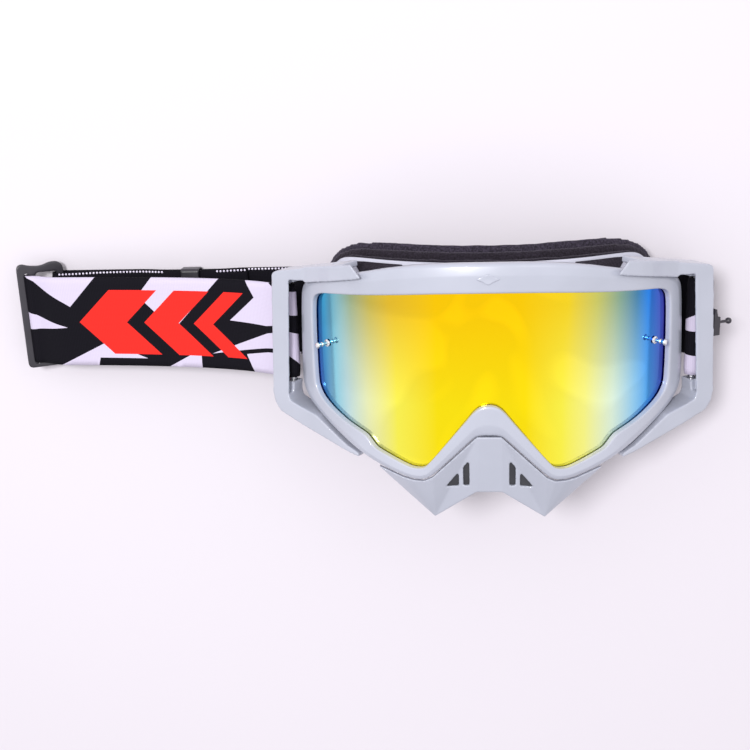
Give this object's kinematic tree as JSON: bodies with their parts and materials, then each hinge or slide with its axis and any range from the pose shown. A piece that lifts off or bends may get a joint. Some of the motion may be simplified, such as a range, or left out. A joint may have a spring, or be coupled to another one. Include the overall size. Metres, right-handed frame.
{
  "type": "motocross goggles",
  "caption": "Motocross goggles lying on their back: rim over a mirrored lens, vented soft frame, layered face foam, pivoting outriggers, clip-on nose guard and elastic strap with sliders.",
  "frame": {"origin": "middle plane of the goggles, on the flat underside of the strap's back run, halfway across the strap's width", "axes": "+X to the right temple, +Y to the forehead, +Z out of the table, so the lens faces up"},
  "size_m": [0.3069, 0.1058, 0.0758],
  "materials": {
    "frame_plastic": "satin gloss pale grey",
    "soft_frame": "flexible pale grey",
    "mirror_lens": "yellow mirror fading to blue at the sides",
    "dark_foam": "open-cell foam with fleece",
    "strap_fabric": "printed woven elastic",
    "black_plastic": "satin",
    "chrome": "polished",
    "steel": "turned"
  },
  "bodies": {
    "goggles": {"frame_shell": "frame_plastic", "face_frame": "soft_frame", "lens": "mirror_lens", "lens_gasket": "dark_foam", "tear_off_pin_left": "chrome", "tear_off_pin_right": "chrome", "pin_nut_left": "black_plastic", "pin_nut_right": "black_plastic", "foam_base": "dark_foam", "foam_middle": "dark_foam", "foam_face": "dark_foam", "vent_filter_top_left": "dark_foam", "vent_filter_top_right": "dark_foam", "vent_filter_bottom_left": "dark_foam", "vent_filter_bottom_right": "dark_foam", "pivot_pin_top_left": "steel", "pivot_pin_low_left": "steel", "pivot_pin_top_right": "steel", "pivot_pin_low_right": "steel", "strap_front": "strap_fabric", "strap_back": "strap_fabric", "slider_fold": "black_plastic"},
    "outrigger_left": {"outrigger_left": "frame_plastic", "strap_rod_left": "steel", "strap_loop_left": "strap_fabric"},
    "outrigger_right": {"outrigger_right": "frame_plastic", "strap_rod_right": "steel", "strap_loop_right": "strap_fabric", "tab_clip": "black_plastic", "tab_post": "black_plastic"},
    "nose_guard": {"nose_guard": "frame_plastic"},
    "strap_slider": {"slider_back": "black_plastic"}
  },
  "joints": [
    {"name": "outrigger_left_hinge", "type": "hinge", "parent": "goggles", "child": "outrigger_left", "pos_m": [-0.06, 0, 0.0485], "axis": [0, -1, 0], "range_deg": [-4, 4]},
    {"name": "outrigger_right_hinge", "type": "hinge", "parent": "goggles", "child": "outrigger_right", "pos_m": [0.06, 0, 0.0485], "axis": [0, 1, 0], "range_deg": [-4, 4]},
    {"name": "nose_guard_slide", "type": "slide", "parent": "goggles", "child": "nose_guard", "axis": [0, -1, 0], "range_m": [0, 0.012]},
    {"name": "strap_slider_slide", "type": "slide", "parent": "goggles", "child": "strap_slider", "axis": [1, 0, 0], "range_m": [-0.008, 0.008]}
  ]
}
